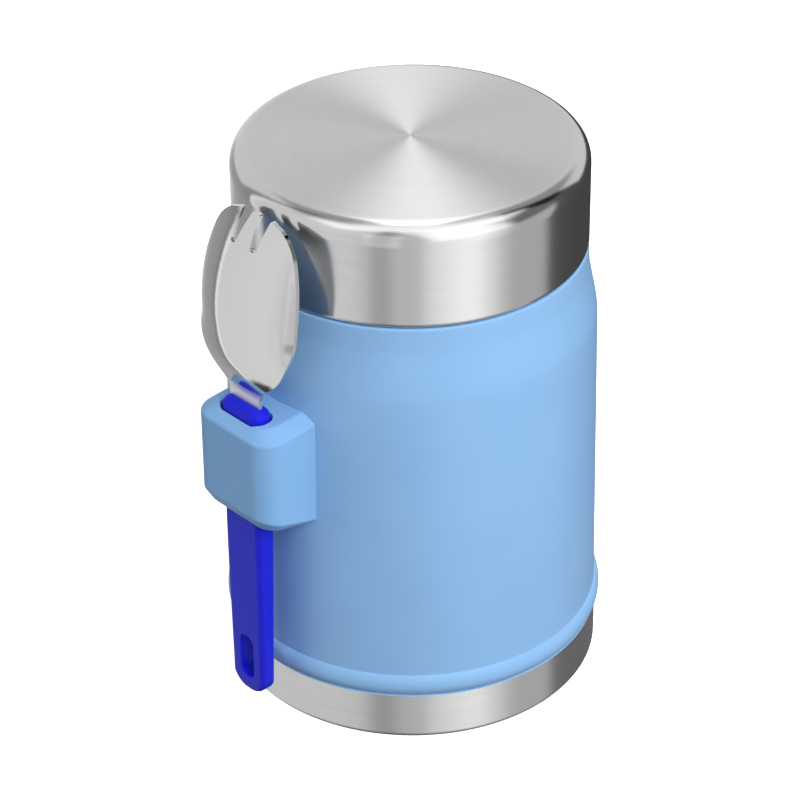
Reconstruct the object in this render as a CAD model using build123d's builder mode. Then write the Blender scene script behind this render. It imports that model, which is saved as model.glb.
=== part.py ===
from build123d import *
from math import asin, atan, cos, degrees, hypot, radians, sin
import os

# Insulated food jar, millimetres, +Z up.
# The origin is on the jar's axis in the plane that the foot ring stands on.
# The holder and its spork are on the -X side.
# Profiles are lists of (radius or outward distance, height), revolved about Z.

os.makedirs("parts", exist_ok=True)

# Sheet and moulding thicknesses
WALL = 0.8
LID_WALL = 0.7
SPORK_SHEET = 1.0

# Clearances
SLIP = 0.05
SEAT = 0.05

# Outer shell: neck, ledge, stepped shoulder, tapering wall and rolled bead
NECK_R = 39.2
NECK_TOP = 130.2
LEDGE_Z = 116.6
LEDGE_R = 42.9
STEP_TOP_R, STEP_TOP_Z = 43.26, 110.2
STEP_LOW_R, STEP_LOW_Z = 45.45, 98.6
WAIST_R, WAIST_Z = 46.42, 19.2
BEAD_R, BEAD_Z = 47.77, 14.3
BEAD_UNDER_Z = 13.2
WALL_TAPER = (WAIST_R - STEP_LOW_R) / (STEP_LOW_Z - WAIST_Z)
SOCKET_R = 46.75

# Base cup
BASE_R = 46.7
BASE_TOP = 16.0
FOOT_INNER_R = 38.9
RECESS_R, RECESS_Z = 37.2, 1.6

# Vacuum space: closing pan, food vessel, foils and getter
PAN_R, PAN_Z, PAN_TOP = 45.5, 16.3, 22.0
VENT_R = 1.2
VESSEL_R = 39.4
VESSEL_FLOOR_Z = 20.5
MOUTH_R = 37.4
THROAT_LOW, THROAT_HIGH = 108.6, 111.6
RIM_Z = 131.0
FOIL, FOIL_GAP = 0.3, 0.15
FOIL_LOW, FOIL_HEIGHT = 30.0, 72.0
FOIL_DISC_R, FOIL_DISC_HOLE_R = 30.0, 6.0
GETTER_R, GETTER_HEIGHT = 5.0, 1.5

# Stopper
PLUG_BOTTOM = 107.0
PLUG_R, PLUG_DRAFT = 36.85, 0.45
PLUG_WALL, PLUG_FLOOR = 1.65, 1.8
FLANGE_Z, FLANGE_TOP, FLANGE_R = 131.6, 136.2, 39.5
SEAL_INNER_R, SEAL_OUTER_R, SEAL_GROOVE = 37.6, 39.0, 0.85
COVER_R, COVER_SEAT = 37.05, 1.7
DISH_R, DISH_Z, COVER_SHEET = 28.6, 130.9, 1.5
GRIP_LENGTH, GRIP_WIDTH, GRIP_HEIGHT = 57.4, 7.0, 4.9
PLUG_FOAM_R, PLUG_FOAM_HEIGHT = 34.5, 20.2

# Lid
LID_R = 43.05
LID_EDGE_Z = 143.2
LID_TOP = 144.4
LID_CORNER = 5.0
LID_BOTTOM = 117.1
LIP_HEIGHT, LIP_IN = 0.9, 0.35
LINER_R = 42.3
LINER_BORE_R = 40.6
LINER_BOTTOM = 117.6
CEILING_Z, CEILING_TOP = 137.0, 139.1
LID_SEAL_INNER_R, LID_SEAL_OUTER_R, LID_SEAL_GROOVE = 37.0, 39.5, 1.4
LID_FOAM_R, LID_FOAM_HEIGHT = 37.5, 3.1

# Holder: its bevelled block runs outward from inside the wall
HOLDER_OUT, HOLDER_WIDTH = 59.3, 27.0
HOLDER_INSIDE, HOLDER_ROOT = 42.0, 45.0
# Holder's levels, from the underside up: height at the root, rise outwards, inset, corner radius
HOLDER_LEVELS = (
    (60.3, 0.20, 1.8, 4.6),
    (61.6, 0.32, 0.0, 5.8),
    (88.5, -0.06, 0.0, 5.8),
    (91.0, -0.05, 3.3, 3.4),
)
BEVEL_SOFTENING = 1.2
# Holder's slot: outward distance of its middle, depth, width and corner radius at each end
SLOT_LOW_Z, SLOT_HIGH_Z = 58.0, 93.0
SLOT_LOW = (53.55, 6.1, 14.0, 2.6)
SLOT_HIGH = (53.3, 6.6, 15.6, 3.1)

# Holder clip
CLIP_Z, CLIP_HEIGHT = 66.0, 20.0
CLIP_ANGLE = 25.0
CLIP_SHEET = 0.8
HOOK_ROOT, HOOK_OUT = 45.3, 49.3
HOOK_Y, HOOK_WIDTH = 8.8, 2.0
HOOK_LOW, HOOK_HIGH = 69.0, 82.0

# Handle cross-sections: height, half width, outward distance of the inner face, corner radius
HANDLE_OUT = 56.3
HANDLE_SECTIONS = (
    (9.0, 5.9, 52.05, 1.5),
    (35.0, 6.4, 51.55, 1.7),
    (60.0, 6.75, 50.9, 2.0),
    (78.0, 6.9, 50.45, 2.5),
    (93.3, 7.05, 50.3, 2.9),
)
TIP_Z, TIP_HALF = HANDLE_SECTIONS[0][:2]
DOME_TOP = HANDLE_SECTIONS[-1][0]
HANDLE_TIP_ROUND = 5.6
TIP_SOFTENING = 1.2
DOME_ROUND = 2.6
HOLE_Z, HOLE_HEIGHT, HOLE_WIDTH = 19.4, 12.4, 4.5
HOLE_BEVEL, HOLE_BACK = 0.3, 51.85

# Spork: tang, neck strip and bowl
TANG_OUT = 53.7
TANG_LOW, TANG_HIGH = 66.0, 92.0
TANG_HALF = 4.0
STRIP_HALF = 5.2
BOWL_START = 95.5
# Bowl cross-sections: height, outward distance of the crown, fall per square millimetre
BOWL_SECTIONS = (
    (95.5, 53.7, 0.002),
    (97.5, 54.15, 0.0045),
    (100.0, 55.25, 0.0100),
    (104.0, 56.75, 0.0143),
    (109.0, 57.7, 0.0186),
    (115.0, 57.85, 0.0215),
    (122.0, 57.0, 0.0218),
    (129.0, 55.2, 0.0228),
    (135.0, 52.75, 0.0228),
    (139.0, 50.2, 0.0180),
    (142.6, 47.2, 0.0100),
)
BOWL_REACH = 17.2
# Half of the bowl's front outline, from the neck strip to the outer tine
BOWL_OUTLINE = (
    (STRIP_HALF, BOWL_START),
    (5.9, 97.0),
    (7.5, 99.0),
    (9.9, 101.0),
    (12.15, 103.0),
    (15.1, 108.5),
    (16.4, 115.0),
    (16.5, 120.0),
    (16.0, 126.0),
    (14.3, 133.0),
    (12.2, 137.4),
    (10.75, 139.0),
    (8.6, 140.45),
)
# Half of the tines: corners with their rounding, from the outer tip through the slot to the middle one
TINE_TOP = 141.8
TINE_CORNERS = (
    (5.5, 141.5, 0.25),
    (4.9, 141.5, 0.25),
    (4.4, 134.8, 0.8),
    (2.6, 134.8, 0.8),
    (1.3, TINE_TOP, 0.5),
)


# Spun and drawn steel outer wall: the neck, the shoulder step and the rolled bead are one sheet
with BuildPart() as outer_shell:
    with BuildSketch(Plane.XZ):
        with BuildLine():
            FilletPolyline(
                (NECK_R, NECK_TOP),
                (NECK_R, LEDGE_Z),
                (LEDGE_R, LEDGE_Z),
                (STEP_TOP_R, STEP_TOP_Z),
                (STEP_LOW_R, STEP_LOW_Z),
                (WAIST_R, WAIST_Z),
                (BEAD_R, BEAD_Z),
                (BEAD_R - 0.5, BEAD_UNDER_Z),
                (SOCKET_R, BEAD_UNDER_Z),
                (SOCKET_R, PAN_Z - 0.1),
                (WAIST_R - WALL, WAIST_Z - WALL),
                (STEP_LOW_R - WALL, STEP_LOW_Z),
                (STEP_TOP_R - WALL, STEP_TOP_Z),
                (LEDGE_R - WALL, LEDGE_Z - WALL),
                (NECK_R - WALL, LEDGE_Z - WALL),
                (NECK_R - WALL, NECK_TOP),
                radius=[0, 1, 0.7, 20, 25, 20, 1, 0.3, 0, 0.4, 1, 25, 20, 0.3, 1, 0],
                close=True,
            )
        make_face()
    revolve(axis=Axis.Z)
outer_shell.part.label = "outer_shell"
export_step(outer_shell.part, "parts/outer_shell.step")

# Bare steel cup that closes the bottom and slides up inside the bead, with a raised middle
with BuildPart() as base_cup:
    with BuildSketch(Plane.XZ):
        with BuildLine():
            FilletPolyline(
                (0, RECESS_Z),
                (RECESS_R, RECESS_Z),
                (FOOT_INNER_R, 0),
                (BASE_R, 0),
                (BASE_R, BASE_TOP),
                (BASE_R - WALL, BASE_TOP),
                (BASE_R - WALL, WALL),
                (FOOT_INNER_R, WALL),
                (RECESS_R, RECESS_Z + WALL),
                (0, RECESS_Z + WALL),
                radius=[0, 0.8, 0.8, 1.55, 0, 0, 0.75, 0.8, 0.8, 0],
                close=True,
            )
        make_face()
    revolve(axis=Axis.Z)
base_cup.part.label = "base_cup"
export_step(base_cup.part, "parts/base_cup.step")

# Pan that closes the vacuum space from below, with the evacuation hole in its middle
with BuildPart() as vacuum_bottom:
    with BuildSketch(Plane.XZ):
        with BuildLine():
            FilletPolyline(
                (VENT_R, PAN_Z),
                (PAN_R, PAN_Z),
                (PAN_R, PAN_TOP),
                (PAN_R - WALL, PAN_TOP),
                (PAN_R - WALL, PAN_Z + WALL),
                (VENT_R, PAN_Z + WALL),
                radius=[0, 1.6, 0, 0, 0.8, 0],
                close=True,
            )
        make_face()
    revolve(axis=Axis.Z)
vacuum_bottom.part.label = "vacuum_bottom"
export_step(vacuum_bottom.part, "parts/vacuum_bottom.step")

# Headed plug that closes the evacuation hole
with BuildPart() as vacuum_seal:
    with BuildSketch(Plane.XZ):
        with BuildLine():
            FilletPolyline(
                (0, PAN_Z - 0.9),
                (2 * VENT_R, PAN_Z - 0.9),
                (2 * VENT_R, PAN_Z - SEAT),
                (VENT_R - SLIP, PAN_Z - SEAT),
                (VENT_R - SLIP, PAN_Z + WALL),
                (0, PAN_Z + WALL),
                radius=[0, 0.4, 0, 0, 0.2, 0],
                close=True,
            )
        make_face()
    revolve(axis=Axis.Z)
vacuum_seal.part.label = "vacuum_seal"
export_step(vacuum_seal.part, "parts/vacuum_seal.step")

# Food vessel with a rounded floor, a narrower mouth and a rim flange that caps the neck
with BuildPart() as inner_vessel:
    with BuildSketch(Plane.XZ):
        with BuildLine():
            FilletPolyline(
                (0, VESSEL_FLOOR_Z),
                (VESSEL_R, VESSEL_FLOOR_Z),
                (VESSEL_R, THROAT_LOW),
                (MOUTH_R + WALL, THROAT_HIGH),
                (MOUTH_R + WALL, NECK_TOP + SLIP),
                (NECK_R, NECK_TOP + SLIP),
                (NECK_R, RIM_Z),
                (MOUTH_R, RIM_Z),
                (MOUTH_R, THROAT_HIGH),
                (VESSEL_R - WALL, THROAT_LOW),
                (VESSEL_R - WALL, VESSEL_FLOOR_Z + WALL),
                (0, VESSEL_FLOOR_Z + WALL),
                radius=[0, 8.8, 3, 3, 0, 0.2, 0.4, 0.4, 3, 3, 8, 0],
                close=True,
            )
        make_face()
    revolve(axis=Axis.Z)
inner_vessel.part.label = "inner_vessel"
export_step(inner_vessel.part, "parts/inner_vessel.step")

# Foil wrapped round the food vessel's side
with BuildPart() as radiation_foil:
    with BuildSketch(Plane.XY.offset(FOIL_LOW)):
        Circle(VESSEL_R + FOIL_GAP + FOIL)
        Circle(VESSEL_R + FOIL_GAP, mode=Mode.SUBTRACT)
    extrude(amount=FOIL_HEIGHT)
radiation_foil.part.label = "radiation_foil"
export_step(radiation_foil.part, "parts/radiation_foil.step")

# Foil under the food vessel's floor, cut out round the getter
with BuildPart() as foil_disc:
    with BuildSketch(Plane.XY.offset(VESSEL_FLOOR_Z - SEAT - FOIL)):
        Circle(FOIL_DISC_R)
        Circle(FOIL_DISC_HOLE_R, mode=Mode.SUBTRACT)
    extrude(amount=FOIL)
foil_disc.part.label = "foil_disc"
export_step(foil_disc.part, "parts/foil_disc.step")

# Getter pellet under the food vessel's floor
with BuildPart() as getter:
    with BuildSketch(Plane.XY.offset(VESSEL_FLOOR_Z - SEAT - GETTER_HEIGHT)):
        Circle(GETTER_R)
    extrude(amount=GETTER_HEIGHT)
    fillet(getter.edges().group_by(Axis.Z)[0], radius=0.4)
getter.part.label = "getter"
export_step(getter.part, "parts/getter.step")

# Plug of the stopper: a thin cup with a flange, a gasket groove and a seat for the cover
with BuildPart() as stopper_body:
    with BuildSketch(Plane.XZ):
        with BuildLine():
            FilletPolyline(
                (0, PLUG_BOTTOM),
                (PLUG_R - PLUG_DRAFT, PLUG_BOTTOM),
                (PLUG_R, FLANGE_Z),
                (SEAL_INNER_R - SLIP, FLANGE_Z),
                (SEAL_INNER_R - SLIP, FLANGE_Z + SEAL_GROOVE),
                (SEAL_OUTER_R + SLIP, FLANGE_Z + SEAL_GROOVE),
                (SEAL_OUTER_R + SLIP, FLANGE_Z),
                (FLANGE_R, FLANGE_Z),
                (FLANGE_R, FLANGE_TOP),
                (COVER_R + SLIP, FLANGE_TOP),
                (COVER_R + SLIP, FLANGE_TOP - COVER_SEAT),
                (PLUG_R - PLUG_WALL, FLANGE_TOP - COVER_SEAT),
                (PLUG_R - PLUG_WALL - PLUG_DRAFT, PLUG_BOTTOM + PLUG_FLOOR),
                (0, PLUG_BOTTOM + PLUG_FLOOR),
                radius=[0, 2, 0.3, 0, 0, 0, 0, 0.15, 0.6, 0.15, 0, 0, 1.2, 0],
                close=True,
            )
        make_face()
    revolve(axis=Axis.Z)
stopper_body.part.label = "stopper_body"
export_step(stopper_body.part, "parts/stopper_body.step")

# Cover of the stopper: a dish with a finger bar across it
with BuildPart() as stopper_cover:
    with BuildSketch(Plane.XZ):
        with BuildLine():
            FilletPolyline(
                (0, DISH_Z - COVER_SHEET),
                (DISH_R + 1.6, DISH_Z - COVER_SHEET),
                (DISH_R + 2.3, FLANGE_TOP - COVER_SEAT + SEAT),
                (COVER_R, FLANGE_TOP - COVER_SEAT + SEAT),
                (COVER_R, FLANGE_TOP - SEAT),
                (DISH_R + 0.6, FLANGE_TOP - SEAT),
                (DISH_R, DISH_Z),
                (0, DISH_Z),
                radius=[0, 1.5, 0, 0, 0.4, 0.6, 1.2, 0],
                close=True,
            )
        make_face()
    revolve(axis=Axis.Z)
    with BuildSketch(Plane.XY.offset(DISH_Z)):
        Rectangle(GRIP_LENGTH, GRIP_WIDTH)
    extrude(amount=GRIP_HEIGHT)
    fillet(stopper_cover.edges().filter_by(Axis.X).group_by(Axis.Z)[-1], radius=1.2)
stopper_cover.part.label = "stopper_cover"
export_step(stopper_cover.part, "parts/stopper_cover.step")

# Insulation inside the plug
with BuildPart() as stopper_foam:
    with BuildSketch(Plane.XY.offset(PLUG_BOTTOM + PLUG_FLOOR + 0.2)):
        Circle(PLUG_FOAM_R)
    extrude(amount=PLUG_FOAM_HEIGHT)
    fillet(stopper_foam.edges().group_by(Axis.Z)[0], radius=1.4)
stopper_foam.part.label = "stopper_foam"
export_step(stopper_foam.part, "parts/stopper_foam.step")

# Silicone ring that seals the stopper's flange on the rim
with BuildPart() as stopper_gasket:
    with BuildSketch(Plane.XZ):
        with BuildLine():
            FilletPolyline(
                (SEAL_INNER_R, RIM_Z + SEAT),
                (SEAL_OUTER_R, RIM_Z + SEAT),
                (SEAL_OUTER_R, FLANGE_Z + SEAL_GROOVE - SEAT),
                (SEAL_INNER_R, FLANGE_Z + SEAL_GROOVE - SEAT),
                radius=[0.35, 0.35, 0, 0],
                close=True,
            )
        make_face()
    revolve(axis=Axis.Z)
stopper_gasket.part.label = "stopper_gasket"
export_step(stopper_gasket.part, "parts/stopper_gasket.step")

# Drawn steel cap of the lid: slightly domed top, rounded corner and a lip that turns in
CORNER_R = LID_R - LID_CORNER
CORNER_Z = LID_EDGE_Z - LID_CORNER
INNER_CORNER = LID_CORNER - LID_WALL
DOME = LID_TOP - LID_EDGE_Z
DOME_R = (CORNER_R**2 + DOME**2) / (2 * DOME)
DOME_ARC = degrees(asin(CORNER_R / DOME_R))
DIAGONAL = radians(45)
with BuildPart() as lid_shell:
    with BuildSketch(Plane.XZ):
        with BuildLine():
            CenterArc((0, LID_TOP - DOME_R), DOME_R, 90 - DOME_ARC, DOME_ARC)
            ThreePointArc(
                (CORNER_R, LID_EDGE_Z),
                (CORNER_R + LID_CORNER * sin(DIAGONAL), CORNER_Z + LID_CORNER * cos(DIAGONAL)),
                (LID_R, CORNER_Z),
            )
            Line((LID_R, CORNER_Z), (LID_R, LID_BOTTOM + LIP_HEIGHT))
            FilletPolyline(
                (LID_R, LID_BOTTOM + LIP_HEIGHT),
                (LID_R - 0.1, LID_BOTTOM + 0.4),
                (LID_R - LIP_IN, LID_BOTTOM),
                (LID_R - LID_WALL, LID_BOTTOM),
                radius=[0.6, 0.25],
            )
            Line((LID_R - LID_WALL, LID_BOTTOM), (LID_R - LID_WALL, CORNER_Z))
            ThreePointArc(
                (LID_R - LID_WALL, CORNER_Z),
                (CORNER_R + INNER_CORNER * sin(DIAGONAL), CORNER_Z + INNER_CORNER * cos(DIAGONAL)),
                (CORNER_R, LID_EDGE_Z - LID_WALL),
            )
            CenterArc((0, LID_TOP - LID_WALL - DOME_R), DOME_R, 90 - DOME_ARC, DOME_ARC)
            Line((0, LID_TOP - LID_WALL), (0, LID_TOP))
        make_face()
    revolve(axis=Axis.Z)
lid_shell.part.label = "lid_shell"
export_step(lid_shell.part, "parts/lid_shell.step")

# Moulded inner cap of the lid, with a gasket groove in its ceiling
with BuildPart() as lid_liner:
    with BuildSketch(Plane.XZ):
        with BuildLine():
            FilletPolyline(
                (0, CEILING_Z),
                (LID_SEAL_INNER_R - SLIP, CEILING_Z),
                (LID_SEAL_INNER_R - SLIP, CEILING_Z + LID_SEAL_GROOVE),
                (LID_SEAL_OUTER_R + SLIP, CEILING_Z + LID_SEAL_GROOVE),
                (LID_SEAL_OUTER_R + SLIP, CEILING_Z),
                (LINER_BORE_R, CEILING_Z),
                (LINER_BORE_R, LINER_BOTTOM),
                (LINER_R, LINER_BOTTOM),
                (LINER_R, CEILING_TOP),
                (0, CEILING_TOP),
                radius=[0, 0.2, 0, 0, 0.2, 0.8, 0.5, 0.3, 1.6, 0],
                close=True,
            )
        make_face()
    revolve(axis=Axis.Z)
lid_liner.part.label = "lid_liner"
export_step(lid_liner.part, "parts/lid_liner.step")

# Insulating disc between the inner cap and the steel cap
with BuildPart() as lid_foam:
    with BuildSketch(Plane.XY.offset(CEILING_TOP + SEAT)):
        Circle(LID_FOAM_R)
    extrude(amount=LID_FOAM_HEIGHT)
lid_foam.part.label = "lid_foam"
export_step(lid_foam.part, "parts/lid_foam.step")

# Silicone ring in the lid's ceiling, above the stopper's flange
with BuildPart() as lid_gasket:
    with BuildSketch(Plane.XZ):
        with BuildLine():
            FilletPolyline(
                (LID_SEAL_INNER_R, FLANGE_TOP + SEAT),
                (LID_SEAL_OUTER_R, FLANGE_TOP + SEAT),
                (LID_SEAL_OUTER_R, CEILING_Z + LID_SEAL_GROOVE - SEAT),
                (LID_SEAL_INNER_R, CEILING_Z + LID_SEAL_GROOVE - SEAT),
                radius=[0.6, 0.6, 0.1, 0.1],
                close=True,
            )
        make_face()
    revolve(axis=Axis.Z)
lid_gasket.part.label = "lid_gasket"
export_step(lid_gasket.part, "parts/lid_gasket.step")

# Curved plate that is welded to the wall, with two hooks that the holder snaps over
CLIP_R = STEP_LOW_R + SLIP - WALL_TAPER * (CLIP_Z + CLIP_HEIGHT - STEP_LOW_Z)
CLIP_START = 180 - CLIP_ANGLE / 2
with BuildPart() as holder_clip:
    with BuildSketch(Plane.XZ.rotated((0, 0, CLIP_START))):
        with BuildLine():
            Polyline(
                (CLIP_R + WALL_TAPER * CLIP_HEIGHT, CLIP_Z),
                (CLIP_R + WALL_TAPER * CLIP_HEIGHT + CLIP_SHEET, CLIP_Z),
                (CLIP_R + CLIP_SHEET, CLIP_Z + CLIP_HEIGHT),
                (CLIP_R, CLIP_Z + CLIP_HEIGHT),
                close=True,
            )
        make_face()
    revolve(axis=Axis.Z, revolution_arc=CLIP_ANGLE)
    for side in (-1, 1):
        with BuildSketch(Plane((-(HOOK_ROOT + HOOK_OUT) / 2, side * HOOK_Y, HOOK_LOW))):
            Rectangle(HOOK_OUT - HOOK_ROOT, HOOK_WIDTH)
        extrude(amount=HOOK_HIGH - HOOK_LOW)
holder_clip.part.label = "holder_clip"
export_step(holder_clip.part, "parts/holder_clip.step")

# Moulded holder: its back follows the wall, a tapered slot runs down through it for the handle
with BuildPart() as holder:
    for root_z, rise, inset, corner in HOLDER_LEVELS:
        length = (HOLDER_OUT - inset - HOLDER_INSIDE) * hypot(1, rise)
        tilted = Plane((-HOLDER_INSIDE, 0, root_z + rise * (HOLDER_INSIDE - HOLDER_ROOT)))
        with BuildSketch(tilted.rotated((0, degrees(atan(rise)), 0))) as level:
            with Locations((-length / 2, 0)):
                Rectangle(length, HOLDER_WIDTH - 2 * inset)
            fillet(level.vertices().group_by(Axis.X)[0], radius=corner)
    loft(ruled=True)
    rims = holder.edges().filter_by(GeomType.LINE) + holder.edges().filter_by(GeomType.CIRCLE)
    fillet(rims.filter_by(lambda edge: edge.center().X < -HOLDER_INSIDE - SLIP), radius=BEVEL_SOFTENING)
    with BuildSketch(Plane.XZ):
        with BuildLine():
            Polyline(
                (0, 40),
                (STEP_LOW_R + SLIP + WALL_TAPER * (STEP_LOW_Z - 40), 40),
                (STEP_LOW_R + SLIP, STEP_LOW_Z),
                (0, STEP_LOW_Z),
                close=True,
            )
        make_face()
    revolve(axis=Axis.Z, mode=Mode.SUBTRACT)
    for level, (middle, depth, width, corner) in ((SLOT_LOW_Z, SLOT_LOW), (SLOT_HIGH_Z, SLOT_HIGH)):
        with BuildSketch(Plane((-middle, 0, level))):
            RectangleRounded(depth, width, corner)
    loft(mode=Mode.SUBTRACT)
    with BuildSketch(Plane.XZ.rotated((0, 0, CLIP_START - 0.5))):
        with BuildLine():
            Polyline(
                (CLIP_R - 1, CLIP_Z - 0.3),
                (CLIP_R + WALL_TAPER * CLIP_HEIGHT + CLIP_SHEET + 0.1, CLIP_Z - 0.3),
                (CLIP_R + CLIP_SHEET + 0.1, CLIP_Z + CLIP_HEIGHT + 0.3),
                (CLIP_R - 1, CLIP_Z + CLIP_HEIGHT + 0.3),
                close=True,
            )
        make_face()
    revolve(axis=Axis.Z, revolution_arc=CLIP_ANGLE + 1, mode=Mode.SUBTRACT)
    for side in (-1, 1):
        with BuildSketch(Plane((-(HOOK_ROOT + HOOK_OUT) / 2, side * HOOK_Y, HOOK_LOW - 0.2))):
            Rectangle(HOOK_OUT - HOOK_ROOT + 0.2, HOOK_WIDTH + 0.2)
        extrude(amount=HOOK_HIGH - HOOK_LOW + 0.4, mode=Mode.SUBTRACT)
holder.part.label = "holder"
export_step(holder.part, "parts/holder.step")

# Pressed and polished spork: tang and neck strip, then a bowl dished across and along, with three tines
with BuildPart() as spork_head:
    for height, crown, fall in BOWL_SECTIONS:
        edge = crown - fall * BOWL_REACH**2
        with BuildSketch(Plane.XY.offset(height)):
            with BuildLine():
                ThreePointArc((-edge, -BOWL_REACH), (-crown, 0), (-edge, BOWL_REACH))
                Line((-edge, BOWL_REACH), (SPORK_SHEET - edge, BOWL_REACH))
                ThreePointArc(
                    (SPORK_SHEET - edge, BOWL_REACH),
                    (SPORK_SHEET - crown, 0),
                    (SPORK_SHEET - edge, -BOWL_REACH),
                )
                Line((SPORK_SHEET - edge, -BOWL_REACH), (-edge, -BOWL_REACH))
            make_face()
    loft()
    with BuildSketch(Plane.YZ):
        with BuildLine():
            Line((0, BOWL_START), BOWL_OUTLINE[0])
            Spline(*BOWL_OUTLINE)
            FilletPolyline(
                BOWL_OUTLINE[-1],
                *[(half, height) for half, height, _ in TINE_CORNERS],
                (0, TINE_TOP),
                radius=[rounding for _, _, rounding in TINE_CORNERS],
            )
            mirror(about=Plane.YZ)
        make_face()
    extrude(amount=-70, mode=Mode.INTERSECT)
    with BuildSketch(Plane((SPORK_SHEET / 2 - TANG_OUT, 0, TANG_HIGH))):
        Rectangle(SPORK_SHEET, 2 * STRIP_HALF)
    extrude(amount=BOWL_START - TANG_HIGH)
    with BuildSketch(Plane((SPORK_SHEET / 2 - TANG_OUT, 0, TANG_LOW))):
        Rectangle(SPORK_SHEET, 2 * TANG_HALF)
    extrude(amount=TANG_HIGH - TANG_LOW)
spork_head.part.label = "spork_head"
export_step(spork_head.part, "parts/spork_head.step")

# Moulded handle: tapers downwards, domed above the holder, with a hanging hole near its lower end
with BuildPart() as spork_handle:
    for height, half, inner, corner in HANDLE_SECTIONS:
        with BuildSketch(Plane((-(inner + HANDLE_OUT) / 2, 0, height))):
            RectangleRounded(HANDLE_OUT - inner, 2 * half, corner)
    loft()
    with BuildSketch(Plane.YZ):
        with BuildLine():
            FilletPolyline(
                (-TIP_HALF, TIP_Z),
                (TIP_HALF, TIP_Z),
                (TIP_HALF + 3, DOME_TOP),
                (-TIP_HALF - 3, DOME_TOP),
                radius=[HANDLE_TIP_ROUND, HANDLE_TIP_ROUND, 0, 0],
                close=True,
            )
        make_face()
    extrude(amount=-70, mode=Mode.INTERSECT)
    fillet(spork_handle.faces().sort_by(Axis.Z)[-1].edges(), radius=DOME_ROUND)
    tip = spork_handle.faces().sort_by(Axis.Z)[0]
    fillet(tip.edges().filter_by(Axis.X, reverse=True), radius=TIP_SOFTENING)
    with BuildSketch(Plane.YZ):
        with Locations((0, HOLE_Z)):
            SlotOverall(HOLE_HEIGHT, HOLE_WIDTH, rotation=90)
    extrude(amount=-70, mode=Mode.SUBTRACT)
    for rim, step in ((HANDLE_OUT, -HOLE_BEVEL), (HOLE_BACK, HOLE_BEVEL)):
        for place, growth in ((rim, 2 * HOLE_BEVEL), (rim + step, 0)):
            with BuildSketch(Plane.YZ.offset(-place)):
                with Locations((0, HOLE_Z)):
                    SlotOverall(HOLE_HEIGHT + growth, HOLE_WIDTH + growth, rotation=90)
        loft(mode=Mode.SUBTRACT)
    with BuildSketch(Plane((SPORK_SHEET / 2 - TANG_OUT, 0, TANG_LOW - SLIP))):
        Rectangle(SPORK_SHEET + 2 * SLIP, 2 * (TANG_HALF + SLIP))
    extrude(amount=TANG_HIGH - TANG_LOW, mode=Mode.SUBTRACT)
    with BuildSketch(Plane((SPORK_SHEET / 2 - TANG_OUT, 0, TANG_HIGH - SLIP))):
        Rectangle(SPORK_SHEET + 2 * SLIP, 2 * (STRIP_HALF + SLIP))
    extrude(amount=5, mode=Mode.SUBTRACT)
spork_handle.part.label = "spork_handle"
export_step(spork_handle.part, "parts/spork_handle.step")
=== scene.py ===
"""Insulated food jar: finishes, outer shell, screw threads and the studio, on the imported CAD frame.

The CAD nodes carry every shape that has a job. This script gives each one its finish, puts a finer mesh in
the place of the outer shell, adds the screw threads that the solids leave out, and lights the jar in a
white studio. Sizes are in millimetres unless a name or a comment says otherwise.
"""

from __future__ import annotations

import logging
import math
from dataclasses import dataclass
from enum import Enum
from typing import Any, Iterable, Sequence

import bpy
from mathutils import Matrix, Vector

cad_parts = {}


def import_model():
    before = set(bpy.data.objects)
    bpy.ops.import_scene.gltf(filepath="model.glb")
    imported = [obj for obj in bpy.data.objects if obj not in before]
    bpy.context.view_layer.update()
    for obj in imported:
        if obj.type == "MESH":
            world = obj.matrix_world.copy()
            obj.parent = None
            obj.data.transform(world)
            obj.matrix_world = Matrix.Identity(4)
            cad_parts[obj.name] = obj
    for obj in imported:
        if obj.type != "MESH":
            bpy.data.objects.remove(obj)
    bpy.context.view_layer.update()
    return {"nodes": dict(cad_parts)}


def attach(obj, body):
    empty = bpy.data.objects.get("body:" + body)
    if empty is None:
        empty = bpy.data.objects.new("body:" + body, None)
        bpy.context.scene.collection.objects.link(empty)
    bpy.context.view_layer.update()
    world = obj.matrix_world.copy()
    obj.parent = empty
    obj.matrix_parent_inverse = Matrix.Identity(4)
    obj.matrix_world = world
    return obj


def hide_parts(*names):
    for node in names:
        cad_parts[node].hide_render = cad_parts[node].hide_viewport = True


LOG = logging.getLogger("food_jar")

MM = 0.001
NOISE_REACH = (0.3, 0.7)  # a noise stays between these for most of a surface
ACROSS = 0.25  # turn of the tangent, in whole turns, that stretches the gloss across the brushing
ROUNDING_STEP_DEG = 6.0  # largest turn between two points of a rounded corner

Profile = Sequence[tuple[float, float]]
Corner = tuple[float, float, float]


class Body(str, Enum):
    """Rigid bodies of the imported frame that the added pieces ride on."""

    JAR = "jar"
    LID = "lid"


class Side(Enum):
    """Which way a screw ridge stands proud of its wall: +1 outwards, -1 into the bore."""

    OUTER = 1
    INNER = -1


class Texture(Enum):
    """What the unevenness of a surface is made of."""

    LUMPS = "ShaderNodeTexNoise"
    CELLS = "ShaderNodeTexVoronoi"


def linear(hex_colour: str) -> tuple[float, float, float, float]:
    """Converts an sRGB hex colour to the linear colour that shaders take, by the standard's own numbers.

    Args:
        hex_colour: Colour such as "#8fb9e6".

    Returns:
        Linear red, green, blue and an alpha of 1.
    """
    digits = hex_colour.lstrip("#")
    channels = []
    for start in (0, 2, 4):
        value = int(digits[start : start + 2], 16) / 255
        channels.append(value / 12.92 if value <= 0.04045 else ((value + 0.055) / 1.055) ** 2.4)
    return (channels[0], channels[1], channels[2], 1.0)


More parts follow.
